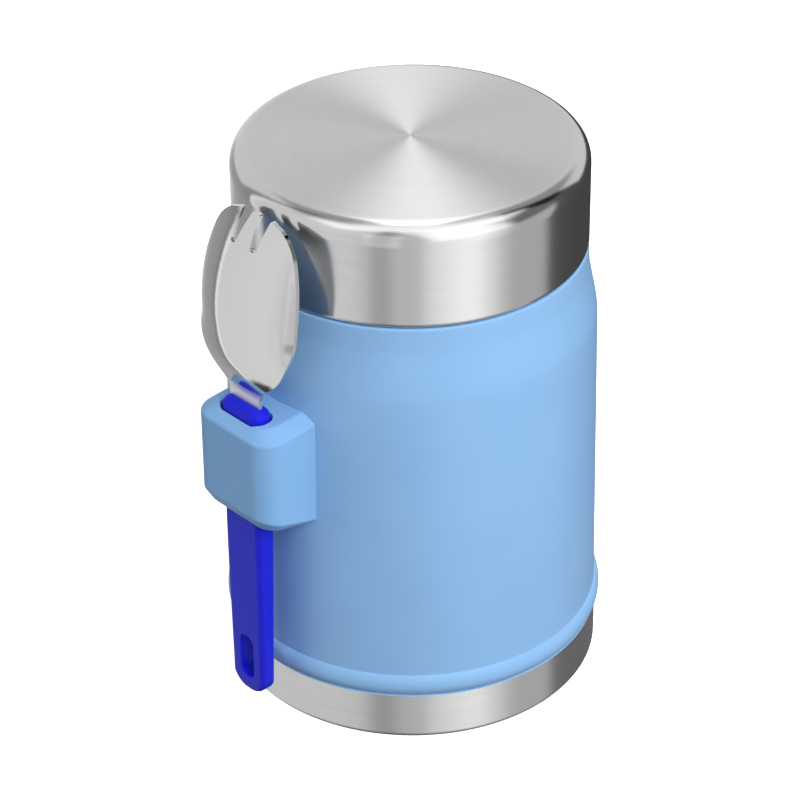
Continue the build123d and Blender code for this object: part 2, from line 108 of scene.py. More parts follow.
def span(value: Any, start: float, end: float, low: float = 0.0, high: float = 1.0) -> dict[str, Any]:
    """Gives the inputs of a Map Range that takes start to end onto low to high.

    Args:
        value: Node or socket that is mapped.
        start: Value that becomes low.
        end: Value that becomes high. It may be the smaller of the two.
        low: First result.
        high: Last result.

    Returns:
        Input name to value or node.
    """
    return {"Value": value, "From Min": start, "From Max": end, "To Min": low, "To Max": high}


class Graph:
    """One node tree, with a single call that adds a node with its settings and links."""

    def __init__(self, tree: bpy.types.NodeTree) -> None:
        """Takes over a node tree and empties it."""
        self.tree = tree
        self.tree.nodes.clear()

    def add(
        self, kind: str, inputs: dict[Any, Any] | None = None, stops: Profile = (), **settings: Any
    ) -> bpy.types.Node:
        """Adds a node.

        Args:
            kind: Blender's node type, such as "ShaderNodeTexNoise".
            inputs: What each input takes, as for feed.
            stops: For a colour ramp alone: position and grey of each stop, from low to high.
            **settings: Attributes of the node itself.

        Returns:
            The new node.
        """
        node = self.tree.nodes.new(kind)
        for name, value in settings.items():
            setattr(node, name, value)
        self.feed(node, inputs or {})
        if stops:
            elements = node.color_ramp.elements
            while len(elements) > 1:
                elements.remove(elements[-1])
            for index, (position, grey) in enumerate(stops):
                element = elements[0] if index == 0 else elements.new(position)
                element.position = position
                element.color = (grey, grey, grey, 1)
        return node

    def feed(self, node: bpy.types.Node, inputs: dict[Any, Any]) -> None:
        """Sets a node's inputs, or links them.

        Args:
            node: Node that takes them.
            inputs: Input name or index to a value, to a socket, or to a node that gives its first output.
        """
        for key, value in inputs.items():
            source = value.outputs[0] if isinstance(value, bpy.types.Node) else value
            if isinstance(source, bpy.types.NodeSocket):
                self.tree.links.new(source, node.inputs[key])
            else:
                node.inputs[key].default_value = source

    def millimetres(self) -> bpy.types.Node:
        """Adds the object's own coordinates in millimetres.

        Returns:
            The node that gives them.
        """
        own = self.add("ShaderNodeTexCoord").outputs["Object"]
        return self.add("ShaderNodeVectorMath", {0: own, "Scale": 1 / MM}, operation="SCALE")


@dataclass(frozen=True)
class Relief:
    """Unevenness of a surface: a pattern of a real size, and the bump that it makes.

    Attributes:
        size_mm: Width of a lump or of a cell.
        detail: How many finer patterns lie on it.
        harshness: How strong those finer ones are.
        depth_mm: Height of the lumps. There is no bump where it is 0.
        strength: Share of that height that shows.
        texture: What the pattern is made of.
    """

    size_mm: float
    detail: float = 2.0
    harshness: float = 0.5
    depth_mm: float = 0.0
    strength: float = 1.0
    texture: Texture = Texture.LUMPS

    def draw(self, graph: Graph, place: Any, under: Any = None) -> tuple[bpy.types.Node, Any]:
        """Adds the pattern and its bump.

        Args:
            graph: Node tree of the material.
            place: Coordinates in millimetres.
            under: Bump that this one lies on, if any.

        Returns:
            The pattern's value from 0 to 1, and the bump of the whole surface so far.
        """
        layout = {"Vector": place, "Scale": 1 / self.size_mm}
        finer = {"Detail": self.detail, "Roughness": self.harshness}
        value = graph.add(self.texture.value, layout | finer)
        if self.depth_mm == 0:
            return value, under
        bump = {"Height": value, "Distance": self.depth_mm * MM, "Strength": self.strength}
        if under is not None:
            bump["Normal"] = under
        return value, graph.add("ShaderNodeBump", bump)


@dataclass(frozen=True)
class Finish:
    """A real material after a real process. Subclasses draw its look.

    Attributes:
        name: Common name of the material and how its surface was made.
        colour: Its sRGB colour.
        roughness: How dull it is, from 0 for a mirror to 1.
    """

    name: str
    colour: str
    roughness: float

    def build(self) -> bpy.types.Material:
        """Makes the Blender material.

        Returns:
            The material, named after the finish.
        """
        material = bpy.data.materials.new(self.name)
        material.use_nodes = True
        graph = Graph(material.node_tree)
        plain = {"Base Color": linear(self.colour), "Roughness": self.roughness}
        shader = graph.add("ShaderNodeBsdfPrincipled", plain)
        graph.feed(shader, self.look(graph))
        graph.add("ShaderNodeOutputMaterial", {"Surface": shader})
        return material

    def look(self, graph: Graph) -> dict[str, Any]:
        """Adds the finish's own nodes and returns the shader inputs that they feed."""
        raise NotImplementedError

    @staticmethod
    def blend(graph: Graph, share: Any, first: str, second: str) -> bpy.types.NodeSocket:
        """Blends two colours.

        Args:
            graph: Node tree of the material.
            share: Share of the second colour, from 0 to 1.
            first: An sRGB colour.
            second: Another one.

        Returns:
            The blended colour.
        """
        # The mix node keeps its two colours at inputs 6 and 7, and their blend at output 2.
        inputs = {0: share, 6: linear(first), 7: linear(second)}
        return graph.add("ShaderNodeMix", inputs, data_type="RGBA").outputs[2]

    def drift(self, graph: Graph, noise: Any, shade: str) -> bpy.types.NodeSocket:
        """Lets the colour drift between the finish's own and a second shade.

        Args:
            graph: Node tree of the material.
            noise: Pattern that it follows.
            shade: The second colour.

        Returns:
            The drifting colour.
        """
        share = graph.add("ShaderNodeMapRange", span(noise, *NOISE_REACH))
        return self.blend(graph, share, self.colour, shade)

    def wander(self, graph: Graph, noise: Any, down: float, up: float) -> bpy.types.Node:
        """Lets the roughness wander round the finish's own.

        Args:
            graph: Node tree of the material.
            noise: Pattern that it follows.
            down: How far it falls.
            up: How far it rises.

        Returns:
            The node that gives the roughness.
        """
        limits = span(noise, *NOISE_REACH, self.roughness - down, self.roughness + up)
        return graph.add("ShaderNodeMapRange", limits)


@dataclass(frozen=True)
class PowderCoat(Finish):
    """Baked powder coat: a satin skin with the faint orange peel of melted powder.

    Attributes:
        shade: Colour where the coat is thicker.
        thickness: Slow change of the coat's thickness.
        peel: Orange peel, as wide as on a real coat.
        grain: Melted grains of powder. Real ones are 0.04 mm wide, drawn coarser so that they show.
        swing: How far the roughness wanders.
        gloss: Specular level, under that of a clear coat because this one is matted.
    """

    shade: str
    thickness: Relief = Relief(18.0, detail=3.0)
    peel: Relief = Relief(0.9, harshness=0.4, depth_mm=0.012, strength=0.5)
    grain: Relief = Relief(0.22, depth_mm=0.004, strength=0.4)
    swing: float = 0.03
    gloss: float = 0.32

    def look(self, graph: Graph) -> dict[str, Any]:
        """Adds a drifting colour and a grain on the orange peel.

        Args:
            graph: Node tree of the material.

        Returns:
            Shader input to what feeds it.
        """
        place = graph.millimetres()
        thickness, _ = self.thickness.draw(graph, place)
        _, skin = self.peel.draw(graph, place)
        grain, skin = self.grain.draw(graph, place, skin)
        return {
            "Base Color": self.drift(graph, thickness, self.shade),
            "Roughness": self.wander(graph, grain, self.swing, self.swing),
            "Normal": skin,
            "Specular IOR Level": self.gloss,
        }


@dataclass(frozen=True)
class TurnedSteel(Finish):
    """Stainless steel brushed while it turns, so that the scratches run round the axis.

    The stretched gloss gives the eye upright bands on the wall and a bow tie on the flat top. The finish's
    own roughness is that of the flat top.

    Attributes:
        shade: Colour in the deeper scratches.
        anisotropy: How far the gloss is stretched.
        streaks: How strongly the scratches show in the gloss and in the relief.
        scratch_mm: Width of a scratch. Real ones are 0.02 mm wide, drawn coarser so that they show.
        wall_roughness: Roughness of the upright wall.
        corner_roughness: Roughness of the rounded corner.
        slopes: Upward part of the normal where the wall ends, where the corner starts and ends, and
            where the top starts.
        scratch_turns: How finely a scratch is broken up round the axis, and a band of scratches.
        band_widths: Width of a band of scratches, in scratches.
        harshness: How strong the finer scratches are.
        depth_mm: Depth of a scratch at full streaks.
        strength: Share of that depth that shows.
        swing: How far the roughness wanders at full streaks.
    """

    shade: str
    anisotropy: float
    streaks: float
    scratch_mm: float = 0.28
    wall_roughness: float = 0.30
    corner_roughness: float = 0.30
    slopes: tuple[float, float, float, float] = (0.02, 0.25, 0.96, 0.999)
    scratch_turns: tuple[float, float] = (1.6, 0.8)
    band_widths: float = 4.0
    harshness: float = 0.6
    depth_mm: float = 0.004
    strength: float = 0.6
    swing: float = 0.07

    def look(self, graph: Graph) -> dict[str, Any]:
        """Adds fine scratches and broader bands round the axis, and the stretched gloss.

        Args:
            graph: Node tree of the material.

        Returns:
            Shader input to what feeds it.
        """
        axes = graph.add("ShaderNodeSeparateXYZ", {0: graph.millimetres()}).outputs
        flat = graph.add("ShaderNodeCombineXYZ", {0: axes[0], 1: axes[1]})
        radius = graph.add("ShaderNodeVectorMath", {0: flat}, operation="LENGTH").outputs["Value"]
        around = graph.add("ShaderNodeVectorMath", {0: flat}, operation="NORMALIZE")
        across = graph.add("ShaderNodeMath", {0: radius, 1: axes[2]}, operation="SUBTRACT")
        fine, broad = self.scratch_turns
        depth = self.depth_mm * self.streaks
        scratches, skin = self.lines(graph, around, across, self.scratch_mm, fine, depth)
        bands, _ = self.lines(graph, around, across, self.scratch_mm * self.band_widths, broad, 0.0)
        half = graph.add("ShaderNodeMath", {0: scratches, 1: 0.5}, operation="MULTIPLY")
        both = graph.add("ShaderNodeMath", {0: bands, 1: 0.5, 2: half}, operation="MULTIPLY_ADD")
        swing = self.swing * self.streaks
        wander = graph.add("ShaderNodeMapRange", span(both, *NOISE_REACH, -swing, swing))
        return {
            "Base Color": self.blend(graph, both, self.colour, self.shade),
            "Metallic": 1.0,
            "Roughness": graph.add("ShaderNodeMath", {0: self.by_slope(graph), 1: wander}, operation="ADD"),
            "Normal": skin,
            "Anisotropic": self.anisotropy,
            "Anisotropic Rotation": ACROSS,
            "Tangent": graph.add("ShaderNodeTangent", direction_type="RADIAL", axis="Z"),
        }

    def by_slope(self, graph: Graph) -> bpy.types.Node:
        """Adds the roughness of the wall, the rounded corner and the flat top, chosen by the slope.

        Args:
            graph: Node tree of the material.

        Returns:
            The node that gives the roughness.
        """
        facing = graph.add("ShaderNodeTexCoord").outputs["Normal"]
        upward = graph.add("ShaderNodeSeparateXYZ", {0: facing}).outputs[2]
        rise = graph.add("ShaderNodeMath", {0: upward}, operation="ABSOLUTE")
        levels = (self.wall_roughness, self.corner_roughness, self.corner_roughness, self.roughness)
        return graph.add("ShaderNodeValToRGB", {0: rise}, stops=tuple(zip(self.slopes, levels)))

    def lines(
        self, graph: Graph, around: Any, across: Any, width_mm: float, turns: float, depth_mm: float
    ) -> tuple[bpy.types.Node, Any]:
        """Adds scratches that are long round the axis.

        Args:
            graph: Node tree of the material.
            around: Direction from the axis.
            across: Distance across the scratches, in millimetres.
            width_mm: Width of a scratch.
            turns: How finely it is broken up round the axis.
            depth_mm: Depth of its bump, or 0 for none.

        Returns:
            The scratches' value from 0 to 1, and their bump.
        """
        scaled = graph.add("ShaderNodeVectorMath", {0: around, "Scale": turns}, operation="SCALE")
        height = graph.add("ShaderNodeMath", {0: across, 1: width_mm}, operation="DIVIDE")
        lift = graph.add("ShaderNodeCombineXYZ", {2: height})
        place = graph.add("ShaderNodeVectorMath", {0: scaled, 1: lift}, operation="ADD")
        scratch = Relief(1.0, harshness=self.harshness, depth_mm=depth_mm, strength=self.strength)
        return scratch.draw(graph, place)


@dataclass(frozen=True)
class PolishedSteel(Finish):
    """Pressed sheet, mirror polished: clear reflections that swim a little, with hairline scratches.

    Attributes:
        satin_below_mm: Height under which the polishing wheel doesn't reach and the sheet stays satin.
        satin_roughness: Roughness there.
        satin_fade_mm: Height over which the satin gives way to the polish.
        swim: Waviness left by the press.
        hairs: Hairline scratches of use. Real ones are 0.01 mm wide, drawn coarser so that they show.
        hair_stretch: How much finer than their width the hairs are along each axis.
        swing: How far the roughness falls and rises.
    """

    satin_below_mm: float
    satin_roughness: float = 0.40
    satin_fade_mm: float = 2.5
    swim: Relief = Relief(7.0, detail=1.0, depth_mm=0.02, strength=0.5)
    hairs: Relief = Relief(0.8, detail=3.0, depth_mm=0.0008, strength=0.4)
    hair_stretch: tuple[float, float, float] = (1, 6, 0.25)
    swing: tuple[float, float] = (0.02, 0.03)

    def look(self, graph: Graph) -> dict[str, Any]:
        """Adds the polish with its waves and hairs, and the satin skin below it.

        Args:
            graph: Node tree of the material.

        Returns:
            Shader input to what feeds it.
        """
        place = graph.millimetres()
        upright = graph.add("ShaderNodeMapping", {"Vector": place, "Scale": self.hair_stretch})
        _, skin = self.swim.draw(graph, place)
        hairs, skin = self.hairs.draw(graph, upright, skin)
        polished = self.wander(graph, hairs, *self.swing)
        height = graph.add("ShaderNodeSeparateXYZ", {0: place}).outputs[2]
        top = self.satin_below_mm + self.satin_fade_mm
        limits = span(height, self.satin_below_mm, top, self.satin_roughness, 0.0)
        satin = graph.add("ShaderNodeMapRange", limits, interpolation_type="SMOOTHSTEP")
        return {
            "Metallic": 1.0,
            "Roughness": graph.add("ShaderNodeMath", {0: polished, 1: satin}, operation="MAXIMUM"),
            "Normal": skin,
        }


@dataclass(frozen=True)
class MouldedPlastic(Finish):
    """Injection moulded plastic: one colour right through, and the fine spark texture of the tool.

    Attributes:
        shade: Colour where the plastic flowed last.
        spark: Spark texture of the moulding tool, as wide as the real one.
        sink: Shallow hollows where the plastic shrank.
        scatter: Share of the light that goes into the plastic and comes out again.
        scatter_mm: How deep that light goes.
        scatter_reach: How far its red, green and blue go, in such depths.
        gloss: Specular level, low because the spark texture breaks the shine up.
        swing: How far the roughness wanders.
    """

    shade: str
    spark: Relief = Relief(0.12, depth_mm=0.006, strength=0.5)
    sink: Relief = Relief(9.0, depth_mm=0.03, strength=0.3)
    scatter: float = 0.0
    scatter_mm: float = 0.8
    scatter_reach: tuple[float, float, float] = (1.0, 1.0, 1.6)
    gloss: float = 0.15
    swing: float = 0.04

    def look(self, graph: Graph) -> dict[str, Any]:
        """Adds the spark texture over the sinks, and the light in the plastic.

        Args:
            graph: Node tree of the material.

        Returns:
            Shader input to what feeds it.
        """
        place = graph.millimetres()
        sink, skin = self.sink.draw(graph, place)
        spark, skin = self.spark.draw(graph, place, skin)
        inputs = {
            "Base Color": self.drift(graph, sink, self.shade),
            "Roughness": self.wander(graph, spark, self.swing, self.swing),
            "Normal": skin,
            "Specular IOR Level": self.gloss,
        }
        if self.scatter > 0:
            inputs["Subsurface Weight"] = self.scatter
            inputs["Subsurface Radius"] = self.scatter_reach
            inputs["Subsurface Scale"] = self.scatter_mm * MM
        return inputs


@dataclass(frozen=True)
class Silicone(Finish):
    """Cured silicone: milky and soft, with a dry bloom over a fine grain.

    Attributes:
        shade: Colour under the bloom.
        grain: Grain of the mould.
        bloom: Patches of the dry bloom.
        scatter: Share of the light that goes into the silicone and comes out again.
        scatter_mm: How deep that light goes.
        scatter_reach: How far its red, green and blue go, in such depths.
        sheen: Dry shine at a flat angle.
        swing: How far the roughness wanders.
    """

    shade: str
    grain: Relief = Relief(0.3, detail=3.0, depth_mm=0.01, strength=0.4)
    bloom: Relief = Relief(6.0)
    scatter: float = 0.3
    scatter_mm: float = 1.5
    scatter_reach: tuple[float, float, float] = (1.0, 1.0, 1.0)
    sheen: float = 0.15
    swing: float = 0.06

    def look(self, graph: Graph) -> dict[str, Any]:
        """Adds the bloom, the grain and the milky depth.

        Args:
            graph: Node tree of the material.

        Returns:
            Shader input to what feeds it.
        """
        place = graph.millimetres()
        grain, skin = self.grain.draw(graph, place)
        bloom, _ = self.bloom.draw(graph, place)
        return {
            "Base Color": self.drift(graph, bloom, self.shade),
            "Roughness": self.wander(graph, grain, self.swing, self.swing),
            "Normal": skin,
            "Subsurface Weight": self.scatter,
            "Subsurface Radius": self.scatter_reach,
            "Subsurface Scale": self.scatter_mm * MM,
            "Sheen Weight": self.sheen,
        }


@dataclass(frozen=True)
class Foam(Finish):
    """Moulded insulating foam: pale, dry, with closed cells cut open at the skin.

    Attributes:
        shade: Darker colour painted into the bottom of a cell, as painted shade in its hollow.
        cells: The cut cells. Real ones are 0.3 mm wide, drawn coarser so that they show.
    """

    shade: str
    cells: Relief = Relief(0.8, detail=0.0, depth_mm=0.15, strength=0.8, texture=Texture.CELLS)

    def look(self, graph: Graph) -> dict[str, Any]:
        """Adds the cells.

        Args:
            graph: Node tree of the material.

        Returns:
            Shader input to what feeds it.
        """
        cells, skin = self.cells.draw(graph, graph.millimetres())
        # The darker shade goes where each cell is lowest: painted shade in the hollows.
        return {"Base Color": self.blend(graph, cells, self.shade, self.colour), "Normal": skin}


@dataclass(frozen=True)
class Foil(Finish):
    """Thin bright foil, wrapped by hand: sharp creases over a mirror.

    Attributes:
        creases: The creases, as far apart as a hand leaves them.
        fine: Fine crumpling between the creases.
        swing: How far the roughness falls and rises.
    """

    creases: Relief = Relief(5.0, detail=0.0, depth_mm=0.3, strength=0.5, texture=Texture.CELLS)
    fine: Relief = Relief(1.2, detail=3.0, depth_mm=0.04, strength=0.5)
    swing: tuple[float, float] = (0.05, 0.08)

    def look(self, graph: Graph) -> dict[str, Any]:
        """Adds the creases and the crumpling on them.

        Args:
            graph: Node tree of the material.

        Returns:
            Shader input to what feeds it.
        """
        place = graph.millimetres()
        _, skin = self.creases.draw(graph, place)
        fine, skin = self.fine.draw(graph, place, skin)
        return {"Metallic": 1.0, "Roughness": self.wander(graph, fine, *self.swing), "Normal": skin}


@dataclass(frozen=True)
class SinteredMetal(Finish):
    """Pressed and sintered powder: dull, dark and open-grained.

    Attributes:
        shade: Colour of the brighter grains.
        grain: Grains of the pressed powder, as wide as the coarse ones.
        metallic: Share of bare metal among the oxide.
    """

    shade: str
    grain: Relief = Relief(0.25, detail=4.0, harshness=0.7, depth_mm=0.05, strength=0.7)
    metallic: float = 0.6

    def look(self, graph: Graph) -> dict[str, Any]:
        """Adds the grains.

        Args:
            graph: Node tree of the material.

        Returns:
            Shader input to what feeds it.
        """
        grain, skin = self.grain.draw(graph, graph.millimetres())
        colour = self.drift(graph, grain, self.shade)
        return {"Base Color": colour, "Metallic": self.metallic, "Normal": skin}


# Baked polyester powder on steel: an even pale blue with a broad, soft shine and no clear reflections.
POWDER_BLUE = PowderCoat("Powder_coated_steel_pale_blue", "#8cbae8", roughness=0.34, shade="#8fbdea")

# Brushed on a lathe: crisp upright bands on the wall, a bright line on the corner and a bow tie on the top.
LID_STEEL = TurnedSteel(
    "Stainless_steel_turned_brushed_lid",
    "#d1d1d1",
    roughness=0.40,
    shade="#c9c9c9",
    anisotropy=0.85,
    streaks=0.3,
    wall_roughness=0.20,
    corner_roughness=0.15,
)

# The same brushing on the base: a narrow band that picks up the tent's lights and darks.
BASE_STEEL = TurnedSteel(
    "Stainless_steel_turned_brushed_base",
    "#cacaca",
    roughness=0.30,
    shade="#c2c2c2",
    anisotropy=0.8,
    streaks=0.3,
    wall_roughness=0.20,
)

# Turned and then electropolished: a soft clean shine in which the turning marks only just show.
VESSEL_STEEL = TurnedSteel(
    "Stainless_steel_electropolished",
    "#d6d6d6",
    roughness=0.24,
    shade="#d0d0d0",
    anisotropy=0.35,
    streaks=0.5,
    scratch_mm=0.5,
)

# Buffed to a mirror down to the neck: clear reflections above, a grey satin strip below.
SPORK_STEEL = PolishedSteel(
    "Stainless_steel_mirror_polished", "#d2d2d2", roughness=0.06, satin_below_mm=96.8
)

# Moulded in a sparked tool: the same blue as the coat, but flatter and a little translucent.
HOLDER_PLASTIC = MouldedPlastic(
    "Polypropylene_moulded_pale_blue",
    "#87b7e7",
    roughness=0.36,
    shade="#8ab9e9",
    scatter=0.1,
    gloss=0.08,
)

# Moulded in a finer tool: deep royal blue with a soft highlight along its domed edges.
HANDLE_PLASTIC = MouldedPlastic(
    "Polypropylene_moulded_royal_blue",
    "#1c22d8",
    roughness=0.30,
    shade="#1e24dc",
    spark=Relief(0.1, depth_mm=0.004, strength=0.5),
    scatter=0.04,
)

# Moulded for the parts under the lid: charcoal that stays matt.
CAP_PLASTIC = MouldedPlastic("Polypropylene_moulded_charcoal", "#3a3d40", roughness=0.5, shade="#404346")

# Cured in a mould: a milky grey-white that light enters.
SEAL_SILICONE = Silicone("Silicone_cured_translucent", "#d9dbdc", roughness=0.5, shade="#c8cbcc")

# Foamed between two walls: cream, dry and full of cells, with painted shade in their hollows.
PALE_FOAM = Foam("Polyurethane_foamed_in_place", "#e6e2d6", roughness=0.9, shade="#bdb8aa")

# Wrapped by hand round the vessel: a crumpled mirror.
BRIGHT_FOIL = Foil("Aluminium_foil_hand_wrapped", "#dcdcda", roughness=0.22)

# Pressed and sintered: dark, dull and grainy.
GETTER_METAL = SinteredMetal("Getter_alloy_sintered", "#46443f", roughness=0.75, shade="#5d5b57")

# Melted into the evacuation hole: a dull grey button.
SEAL_METAL = SinteredMetal("Sealing_alloy_cast", "#8f8e8a", roughness=0.45, shade="#5d5b57")

NODE_FINISH: dict[str, Finish] = {
    "outer_shell": POWDER_BLUE,
    "base_cup": BASE_STEEL,
    "vacuum_bottom": VESSEL_STEEL,
    "vacuum_seal": SEAL_METAL,
    "inner_vessel": VESSEL_STEEL,
    "radiation_foil": BRIGHT_FOIL,
    "foil_disc": BRIGHT_FOIL,
    "getter": GETTER_METAL,
    "holder": HOLDER_PLASTIC,
    "holder_clip": VESSEL_STEEL,
    "stopper_gasket": SEAL_SILICONE,
    "stopper_body": CAP_PLASTIC,
    "stopper_cover": CAP_PLASTIC,
    "stopper_foam": PALE_FOAM,
    "lid_gasket": SEAL_SILICONE,
    "lid_shell": LID_STEEL,
    "lid_liner": CAP_PLASTIC,
    "lid_foam": PALE_FOAM,
    "spork_head": SPORK_STEEL,
    "spork_handle": HANDLE_PLASTIC,
}


class Wardrobe:
    """Builds each finish once and hands it out."""

    def __init__(self) -> None:
        """Starts with no finish made."""
        self.made: dict[str, bpy.types.Material] = {}

    def material(self, finish: Finish) -> bpy.types.Material:
        """Hands out a finish's material, which is made at first use.

        Args:
            finish: The finish that is asked for.

        Returns:
            Its material.
        """
        if finish.name not in self.made:
            self.made[finish.name] = finish.build()
        return self.made[finish.name]

    def dress(self, nodes: dict[str, bpy.types.Object]) -> None:
        """Gives every CAD node its finish.

        Args:
            nodes: Node name to its object.
        """
        for name, node in nodes.items():
            material = self.material(NODE_FINISH[name])
            for index in range(len(node.material_slots)):
                node.material_slots[index].link = "OBJECT"
                node.material_slots[index].material = material
            LOG.info("%s wears %s", name, material.name)


def mesh_object(
    name: str, points: Iterable[Sequence[float]], faces: Iterable[Sequence[int]], sharp_deg: float
) -> bpy.types.Object:
    """Makes a smooth-shaded mesh object from points in millimetres.

    Args:
        name: Object name.
        points: Corner points, in millimetres, in the row frame.
        faces: Corner indices of each face.
        sharp_deg: Edges that turn by more than this stay sharp.

    Returns:
        The object, linked to the scene.
    """
    mesh = bpy.data.meshes.new(name)
    mesh.from_pydata([[value * MM for value in point] for point in points], [], list(faces))
    mesh.update()
    mesh.shade_smooth()
    mesh.set_sharp_from_angle(angle=math.radians(sharp_deg))
    made = bpy.data.objects.new(name, mesh)
    bpy.context.scene.collection.objects.link(made)
    return made


def rounded(corners: Sequence[Corner]) -> Profile:
    """Rounds the corners of a closed outline.

    Args:
        corners: Distance from the axis, height and rounding of each corner.

    Returns:
        Points of the outline.
    """
    points: list[tuple[float, float]] = []
    for index, (along, height, radius) in enumerate(corners):
        if radius <= 0:
            points.append((along, height))
            continue
        here = Vector((along, height))
        before = (Vector(corners[index - 1][:2]) - here).normalized()
        after = (Vector(corners[(index + 1) % len(corners)][:2]) - here).normalized()
        turn = math.pi - before.angle(after)
        reach = radius * math.tan(turn / 2)
        centre = here + (before + after).normalized() * (radius / math.cos(turn / 2))
        start = here + before * reach - centre
        steps = max(1, math.ceil(math.degrees(turn) / ROUNDING_STEP_DEG))
        sense = 1.0 if start.x * (here - centre).y - start.y * (here - centre).x > 0 else -1.0
        for step in range(steps + 1):
            angle = sense * turn * step / steps
            cosine, sine = math.cos(angle), math.sin(angle)
            spoke = Vector((start.x * cosine - start.y * sine, start.x * sine + start.y * cosine))
            points.append(tuple(centre + spoke))
    return points


def lathe(name: str, outline: Profile, segments: int, sharp_deg: float) -> bpy.types.Object:
    """Turns a closed outline round the jar's axis.

    Args:
        name: Piece name.
        outline: Distance from the axis and height of each point.
        segments: Number of steps round the axis.
        sharp_deg: Edges that turn by more than this stay sharp.

    Returns:
        The turned piece.
    """
    points: list[tuple[float, float, float]] = []
    for step in range(segments):
        angle = math.tau * step / segments
        cosine, sine = math.cos(angle), math.sin(angle)
        points.extend((along * cosine, along * sine, height) for along, height in outline)
    count = len(outline)
    faces = []
    for step in range(segments):
        here, there = step * count, (step + 1) % segments * count
        for index in range(count):
            ahead = (index + 1) % count
            faces.append((here + index, here + ahead, there + ahead, there + index))
    return mesh_object(name, points, faces, sharp_deg)


@dataclass
class BodyShell:
    """The drawn and coated outer shell, with the rolled bead round its foot.

    Attributes:
        wardrobe: Where its finish comes from.
        wall: Thickness of the sheet.
        neck_r: Radius of the threaded neck.
        neck_top: Height of the neck's rim.
        neck_round: Rounding where the neck stands on the ledge.
        ledge: Radius and height of the ledge round the neck.
        ledge_round: Rounding of the ledge's edge, outside and inside the sheet.
        step_top: Radius and height where the shoulder's slope starts, below the ledge.
        step_low: Radius and height where it runs into the wall.
        step_rounds: Rounding of the shoulder at its top and at its foot.
        waist: Radius and height where the wall meets the bead. The sheet's inside follows from it.
        waist_round: Rounding of the sheet's inside there.
        bead_r: Largest radius of the bead.
        bead_z: Height of that radius.
        bead_round: Radius of the bead's own arc.
        bead_half_deg: How far the arc runs, up and down from its middle.
        bead_step_deg: Turn between two points of the arc.
        bead_inset: How far inside the socket's radius the arc may run.
        under_z: Height of the bead's lower lip.
        lip: Width of the flat on that lip.
        socket_r: Radius of the socket that takes the base.
        socket_top: Height of the socket's roof.
        segments: Steps round the axis.
        sharp_deg: Edges that turn by more than this stay sharp.
    """

    wardrobe: Wardrobe
    wall: float = 0.8
    neck_r: float = 39.2
    neck_top: float = 130.2
    neck_round: float = 1.0
    ledge: tuple[float, float] = (42.9, 116.6)
    ledge_round: tuple[float, float] = (0.7, 0.3)
    step_top: tuple[float, float] = (43.26, 110.2)
    step_low: tuple[float, float] = (45.45, 98.6)
    step_rounds: tuple[float, float] = (20.0, 25.0)
    waist: tuple[float, float] = (46.42, 19.2)
    waist_round: float = 1.0
    bead_r: float = 47.7
    bead_z: float = 16.3
    bead_round: float = 4.2
    bead_half_deg: int = 46
    bead_step_deg: int = 4
    bead_inset: float = 0.35
    under_z: float = 13.2
    lip: float = 0.1
    socket_r: float = 46.75
    socket_top: float = 16.5
    segments: int = 256
    sharp_deg: float = 30.0

    def bead(self) -> list[Corner]:
        """Lays the bead's outer arc.

        Returns:
            Points from its crease at the wall down to its lower lip.
        """
        centre = self.bead_r - self.bead_round
        arc = []
        for degrees in range(self.bead_half_deg, -self.bead_half_deg + 1, -self.bead_step_deg):
            angle = math.radians(degrees)
            along = centre + self.bead_round * math.cos(angle)
            height = self.bead_z + self.bead_round * math.sin(angle)
            if height > self.under_z and along > self.socket_r - self.bead_inset:
                arc.append((along, height, 0.0))
        return arc

    def build(self) -> None:
        """Turns the shell and puts it in the place of its CAD node."""
        ledge_r, ledge_z = self.ledge
        outer_ledge, inner_ledge = self.ledge_round
        top_round, low_round = self.step_rounds
        corners: list[Corner] = [
            (self.neck_r, self.neck_top, 0.0),
            (self.neck_r, ledge_z, self.neck_round),
            (ledge_r, ledge_z, outer_ledge),
            (*self.step_top, top_round),
            (*self.step_low, low_round),
            *self.bead(),
            (self.socket_r + self.lip, self.under_z, 0.0),
            (self.socket_r, self.under_z, 0.0),
            (self.socket_r, self.socket_top, 0.0),
            (self.waist[0] - self.wall, self.waist[1] - self.wall, self.waist_round),
            (self.step_low[0] - self.wall, self.step_low[1], low_round),
            (self.step_top[0] - self.wall, self.step_top[1], top_round),
            (ledge_r - self.wall, ledge_z - self.wall, inner_ledge),
            (self.neck_r - self.wall, ledge_z - self.wall, self.neck_round),
            (self.neck_r - self.wall, self.neck_top, 0.0),
        ]
        shell = lathe("body_shell", rounded(corners), self.segments, self.sharp_deg)
        shell.data.materials.append(self.wardrobe.material(POWDER_BLUE))
        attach(shell, Body.JAR.value)
        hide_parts("outer_shell")
        LOG.info("body_shell stands for outer_shell on %s", Body.JAR.value)


